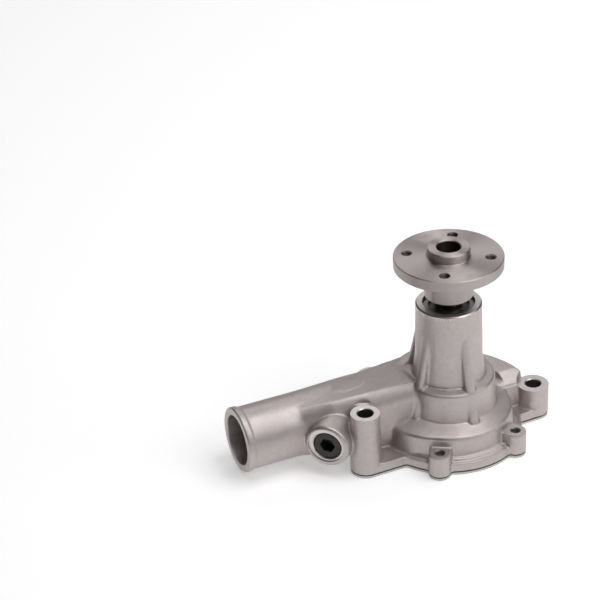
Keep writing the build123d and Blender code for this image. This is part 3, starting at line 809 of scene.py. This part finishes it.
    def machine(self, casting: bpy.types.Object) -> None:
        """Cut the casting with one tool after another.

        Args:
            casting: The softened casting, changed in place.
        """
        for tool in (self.facing, self.edge_tool, self.drills, self.spot_facer, self.countersink, self.tap_drill):
            mesh = bmesh.new()
            tool(mesh)
            cut(casting, piece(tool.__name__, mesh))

    def facing(self, mesh: bmesh.types.BMesh) -> None:
        """Add what levels the underside, the snout's top and the boss tops.

        Args:
            mesh: Mesh that receives it.
        """
        block(mesh, Vector((self.base_from_x, -self.far, self.base_z - self.clear)),
              Vector((self.far, self.far, self.base_z)))
        rod(mesh, self.snout_reach, self.snout_top, self.snout_top + self.clear, Vector())
        for boss in self.bosses:
            rod(mesh, boss.reach, boss.top, boss.top + self.clear, boss.spot)

    def edge_tool(self, mesh: bmesh.types.BMesh) -> None:
        """Add what chamfers the snout's outer edge.

        Args:
            mesh: Mesh that receives it.
        """
        edge, top = self.snout_r - self.snout_chamfer, self.snout_top
        over, out = self.edge_over, self.edge_out
        spun(mesh, [(edge - over, top + over), (edge + out, top + over), (edge + out, top - out)], Vector(), loop=True)

    def drills(self, mesh: bmesh.types.BMesh) -> None:
        """Add the drills of the bolt and screw holes, each with a chamfering shoulder.

        Args:
            mesh: Mesh that receives them.
        """
        holes = [(self.bolt_r, self.bolt_chamfer, boss.top, boss.spot) for boss in self.bosses]
        holes += [(self.screw_r, self.screw_chamfer, self.screw_top, spot) for spot in self.screws]
        for radius, chamfer, top, spot in holes:
            spun(mesh, [(0.0, self.base_z - self.clear), (radius, self.base_z - self.clear), (radius, top - chamfer),
                        (radius + chamfer + self.past, top + self.past), (0.0, top + self.past)], spot)

    def spot_facer(self, mesh: bmesh.types.BMesh) -> None:
        """Add what levels the port's face, a little off its centre.

        Args:
            mesh: Mesh that receives it.
        """
        shift = Vector((self.port_shift[0], 0, self.port_shift[1]))
        rod(mesh, self.port_spot_r, -self.port_lead, self.port_spot, shift, Axis.Y, within=self.port)

    def countersink(self, mesh: bmesh.types.BMesh) -> None:
        """Add what opens the port's mouth at 45 degrees.

        Args:
            mesh: Mesh that receives it.
        """
        start = self.port_spot - self.port_mouth_lead
        rod(mesh, self.port_mouth_r, start, start + self.port_mouth_r - self.port_r, Vector(), Axis.Y,
            self.port_r, within=self.port)

    def tap_drill(self, mesh: bmesh.types.BMesh) -> None:
        """Add what clears the port's bore for its plug.

        Args:
            mesh: Mesh that receives it.
        """
        rod(mesh, self.port_r, self.port_spot - self.past, self.port_spot + self.tap_depth, Vector(), Axis.Y,
            within=self.port)

    def mark_cut_faces(self, data: bpy.types.Mesh) -> None:
        """Put the milled faces in the second material slot and the drilled walls, which carry painted shade, in the
        third.

        Args:
            data: Mesh of the machined casting.
        """
        centres = per_face(data, "center") / MM
        level = np.abs(per_face(data, "normal")[:, 2]) > LEVEL
        x, y, z = centres.T
        milled = (z > self.snout_top - self.snout_milled) & (np.hypot(x, y) > self.snout_bore_r)
        for height in (self.base_z, self.snout_top):
            milled |= level & (np.abs(z - height) < self.on_plane)
        drilled = np.zeros(len(z), dtype=bool)
        for boss in self.bosses:
            away = boss.away(x, y)
            milled |= level & (np.abs(z - boss.top) < self.on_plane) & (away < boss.reach)
            drilled |= (away < self.bolt_r + self.on_plane) & (z < boss.top) & ~level
            mouth = self.bolt_r + self.bolt_chamfer + self.on_plane
            milled |= (away < mouth) & (z < boss.top + self.on_plane) & ~drilled
        mouth = self.screw_r + self.screw_chamfer + self.near
        for spot in self.screws:
            drilled |= (np.hypot(x - spot.x, y - spot.y) < mouth) & ~level
        back = np.array(self.port.inverted())
        across, depth, up = (centres @ back[:3, :3].T + back[:3, 3] / MM).T
        inside = np.hypot(across, up) < self.port_mouth_r + self.port_rim
        milled |= inside & (depth > self.port_spot - self.near) & (depth < self.tap_depth)
        data.polygons.foreach_set("material_index", np.where(drilled, 2, milled).astype(np.int32))
        data.update()

    def dress(self, casting: bpy.types.Object) -> None:
        """Give the casting its three finishes, with the level milled faces shaded flat.

        Args:
            casting: The machined casting, changed in place.
        """
        paint(casting, *(finish.material() for finish in (self.cast, self.milled, self.drilled)))
        self.mark_cut_faces(casting.data)
        shade(casting, self.sharp_angle)
        for face in casting.data.polygons:
            if face.material_index == 1 and abs(face.normal.z) > LEVEL:
                face.use_smooth = False

    def build(self) -> list[bpy.types.Object]:
        """Make the casting in place of the housing.

        Returns:
            The piece.
        """
        casting = self.raw()
        self.soften(casting)
        self.machine(casting)
        self.dress(casting)
        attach(casting, "housing")
        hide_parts("housing")
        return [casting]


# ------------------------------------------------------------------ sub-assemblies with the shapes they need
@dataclass
class SubAssembly:
    """Construction nodes whose shapes are right as they are, each with its finish.

    A finish's key is a node's name, or the start of several names where it ends with an underscore.
    """

    finishes: dict[str, Finish]

    def build(self) -> list[bpy.types.Object]:
        """Give each node its finish.

        Returns:
            The nodes.
        """
        done = []
        for stem, finish in self.finishes.items():
            material = finish.material()
            for name, node in frame["nodes"].items():
                if name == stem or (stem.endswith("_") and name.startswith(stem)):
                    paint(node, material)
                    done.append(node)
        return done


@dataclass
class BackCover(SubAssembly):
    """Plated sheet under the casting, with its gasket and screws."""

    finishes: dict[str, Finish] = field(default_factory=lambda: {
        "backing_plate": CoatedFinish("zinc_sheet", (0.56, 0.57, 0.52), (0.46, 0.47, 0.43), (0.35, 0.5),
                                      metallic=0.9, grain_mm=1.2, depth_mm=0.02, cloud_mm=9.0),
        "plate_gasket": CoatedFinish("gasket_fibre", (0.035, 0.036, 0.036), (0.02, 0.02, 0.021), (0.75, 0.9),
                                     grain_mm=0.4, depth_mm=0.06),
        "plate_screw_": CoatedFinish("zinc_screw", (0.66, 0.65, 0.58), (0.56, 0.55, 0.49), (0.28, 0.42),
                                     metallic=1.0),
    })


@dataclass
class SidePort(SubAssembly):
    """Blackened plug of the side port."""

    finishes: dict[str, Finish] = field(default_factory=lambda: {
        "port_plug": CoatedFinish("oiled_black_steel", (0.060, 0.054, 0.052), (0.035, 0.031, 0.030), (0.34, 0.5),
                                  metallic=0.6, grain_mm=0.6),
    })


@dataclass
class BearingUnit(SubAssembly):
    """Shaft bearing: outer ring, shaft, balls, cages and lip seals."""

    finishes: dict[str, Finish] = field(default_factory=lambda: {
        # Outer ring: painted shade, dark because it sits deep in the snout's bore.
        "bearing_outer_ring": MachinedFinish("ground_steel", (0.20, 0.18, 0.172), (0.14, 0.125, 0.12), (0.22, 0.34),
                                             pitch_mm=0.12, depth_mm=0.004),
        "bearing_shaft": MachinedFinish("ground_shaft", (0.58, 0.56, 0.55), (0.49, 0.47, 0.46), (0.18, 0.3),
                                        pitch_mm=0.12, depth_mm=0.005),
        "bearing_balls_": CoatedFinish("polished_balls", (0.78, 0.78, 0.79), (0.72, 0.72, 0.73), (0.05, 0.09),
                                       metallic=1.0, grain_mm=1.0, depth_mm=0.001),
        "bearing_cage_": CoatedFinish("moulded_nylon", (0.62, 0.56, 0.42), (0.54, 0.48, 0.35), (0.4, 0.5)),
        "bearing_lip_": CoatedFinish("lip_rubber", (0.062, 0.050, 0.047), (0.040, 0.032, 0.030), (0.35, 0.5)),
    })


@dataclass
class ShaftSeal(SubAssembly):
    """Face seal of the shaft, with the slinger above it."""

    finishes: dict[str, Finish] = field(default_factory=lambda: {
        "seal_mating_ring": CoatedFinish("lapped_ceramic", (0.80, 0.77, 0.70), (0.74, 0.71, 0.64), (0.12, 0.2),
                                         grain_mm=1.5, depth_mm=0.002),
        "seal_seat_cup": CoatedFinish("seat_rubber", (0.032, 0.031, 0.032), (0.02, 0.02, 0.021), (0.55, 0.7)),
        "seal_carbon_ring": CoatedFinish("carbon", (0.05, 0.05, 0.052), (0.03, 0.03, 0.032), (0.35, 0.5)),
        "seal_bellows": CoatedFinish("bellows_rubber", (0.028, 0.028, 0.030), (0.018, 0.018, 0.02), (0.5, 0.7)),
        "seal_spring": CoatedFinish("spring_wire", (0.60, 0.59, 0.58), (0.5, 0.49, 0.48), (0.25, 0.35),
                                    metallic=1.0),
        "seal_retainer": CoatedFinish("pressed_ferrule", (0.62, 0.60, 0.57), (0.54, 0.52, 0.49), (0.25, 0.4),
                                      metallic=1.0),
        "seal_cup": CoatedFinish("pressed_brass", (0.75, 0.56, 0.24), (0.62, 0.45, 0.19), (0.25, 0.4),
                                 metallic=1.0, grain_mm=1.0, depth_mm=0.01),
        "water_slinger": CoatedFinish("slinger_rubber", (0.036, 0.035, 0.036), (0.022, 0.022, 0.023), (0.5, 0.7)),
    })


@dataclass
class Impeller(SubAssembly):
    """Cast iron impeller."""

    finishes: dict[str, Finish] = field(default_factory=lambda: {
        "impeller": CastFinish("cast_iron", (0.20, 0.185, 0.175), (0.12, 0.11, 0.105), metallic=0.6,
                               rough=(0.55, 0.75), grain_mm=0.7, blotch_mm=8.0, cloud_mm=2.2, pit_mm=0.2),
    })


@dataclass
class PulleyHub(SubAssembly):
    """Turned hub, as the lathe leaves it."""

    finishes: dict[str, Finish] = field(default_factory=lambda: {
        "pulley_hub": HubFinish(mount("pulley_bolts")["dims"]["pcd_mm"] / 2),
    })


# ------------------------------------------------------------------ studio
@dataclass
class Viewpoint:
    """Camera: where it looks, from how far and from which side. Lengths are in metres."""

    target: Triple = (-0.069645, 0.049596, 0.083416)
    distance: float = 1.2
    bearing: float = 66.89006
    dip: float = 30.27353
    roll: float = -2.39919
    lens: float = 126.0  # this and the sensor in millimetres
    sensor: float = 36.0
    clip: Span = (0.01, 20.0)

    def build(self) -> bpy.types.Object:
        """Place the camera.

        Returns:
            The camera.
        """
        bearing, dip, roll = (math.radians(a) for a in (self.bearing, self.dip, self.roll))
        ahead = Vector((math.cos(bearing) * math.cos(dip), math.sin(bearing) * math.cos(dip), -math.sin(dip)))
        level = ahead.cross(Vector((0, 0, 1))).normalized()
        above = level.cross(ahead)
        right = level * math.cos(roll) + above * math.sin(roll)
        up = right.cross(ahead)
        data = bpy.data.cameras.new("camera")
        data.lens = self.lens
        data.sensor_width = self.sensor
        data.clip_start, data.clip_end = self.clip
        camera = bpy.data.objects.new("camera", data)
        turn = Matrix((right, up, -ahead)).transposed().to_4x4()
        camera.matrix_world = Matrix.Translation(Vector(self.target) - ahead * self.distance) @ turn
        bpy.context.scene.collection.objects.link(camera)
        bpy.context.scene.camera = camera
        return camera


@dataclass(frozen=True)
class Softbox:
    """A square lamp with an even face. Lengths are in metres."""

    name: str
    place: Triple
    watts: float
    size: float = 0.8
    aim: Triple = (-0.02, 0.01, 0.04)

    def build(self) -> bpy.types.Object:
        """Hang the lamp.

        Returns:
            The lamp.
        """
        data = bpy.data.lights.new(self.name, "AREA")
        data.shape = "SQUARE"
        data.size = self.size
        data.energy = self.watts
        lamp = bpy.data.objects.new(self.name, data)
        lamp.location = self.place
        lamp.rotation_euler = (Vector(self.aim) - Vector(self.place)).to_track_quat("-Z", "Y").to_euler()
        bpy.context.scene.collection.objects.link(lamp)
        return lamp


@dataclass
class Studio:
    """White floor, dim surroundings and soft lamps."""

    floor_size: float = 12.0
    floor_grey: float = 0.95
    floor_rough: float = 0.9
    floor_lift: float = 0.34
    surround: float = 0.04
    lamps: tuple[Softbox, ...] = (
        Softbox("overhead", (-0.05, -0.15, 1.6), 7.6, size=1.0),
        Softbox("top", (0.55, -0.05, 1.5), 4.2),
        Softbox("front", (0.45, -1.0, 1.1), 4.3),
        Softbox("key", (0.85, -0.65, 1.2), 2.2),
        Softbox("back", (0.2, 1.2, 1.1), 3.1),
        Softbox("far_side", (1.0, 1.0, 0.9), 2.0),
        Softbox("low_front", (-0.2, -1.3, 0.45), 0.8, size=0.7),
        Softbox("low_side", (1.1, -0.7, 0.55), 1.6, size=0.7),
    )

    def build(self) -> list[bpy.types.Object]:
        """Make the floor, the world and the lamps.

        Returns:
            The floor and the lamps.
        """
        mesh = bmesh.new()
        bmesh.ops.create_grid(mesh, x_segments=1, y_segments=1, size=self.floor_size / 2)
        floor = piece("floor", mesh)
        paint(floor, self.floor_material())
        world = bpy.data.worlds.new("studio")
        world.use_nodes = True
        sky = world.node_tree.nodes["Background"]
        sky.inputs["Color"].default_value = (1.0, 1.0, 1.0, 1.0)
        sky.inputs["Strength"].default_value = self.surround
        bpy.context.scene.world = world
        bpy.context.scene.view_settings.view_transform = "Standard"
        return [floor, *(lamp.build() for lamp in self.lamps)]

    def floor_material(self) -> bpy.types.Material:
        """Matt pale floor that looks white from the camera and in reflections, with its shadows kept.

        Returns:
            The material.
        """
        g = Graph("floor")
        g.shader.inputs["Base Color"].default_value = (self.floor_grey, self.floor_grey, self.floor_grey, 1.0)
        g.shader.inputs["Roughness"].default_value = self.floor_rough
        g.shader.inputs["Specular IOR Level"].default_value = 0.0
        rays = g.node("ShaderNodeLightPath").outputs
        seen = g.number("MAXIMUM", rays["Is Camera Ray"], rays["Is Glossy Ray"])
        seen = g.number("MAXIMUM", seen, rays["Is Transmission Ray"])
        glow = g.node("ShaderNodeEmission")
        g.join(g.number("MULTIPLY", seen, self.floor_lift), glow.inputs["Strength"])
        both = g.fed(g.node("ShaderNodeAddShader"), (g.shader.outputs["BSDF"], glow.outputs["Emission"]))
        g.join(both.outputs["Shader"], g.tree.nodes["Material Output"].inputs["Surface"])
        return g.material


def main() -> None:
    """Build the pump and its studio."""
    logging.basicConfig(level=logging.INFO, format="%(name)s: %(message)s")
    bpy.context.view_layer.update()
    Viewpoint().build()
    Studio().build()
    for group in (Casting(), BackCover(), SidePort(), BearingUnit(), ShaftSeal(), Impeller(), PulleyHub()):
        for made in group.build():
            LOG.info("%s: %s, %d faces", type(group).__name__, made.name, len(made.data.polygons))


if __name__ == "__main__":
    main()
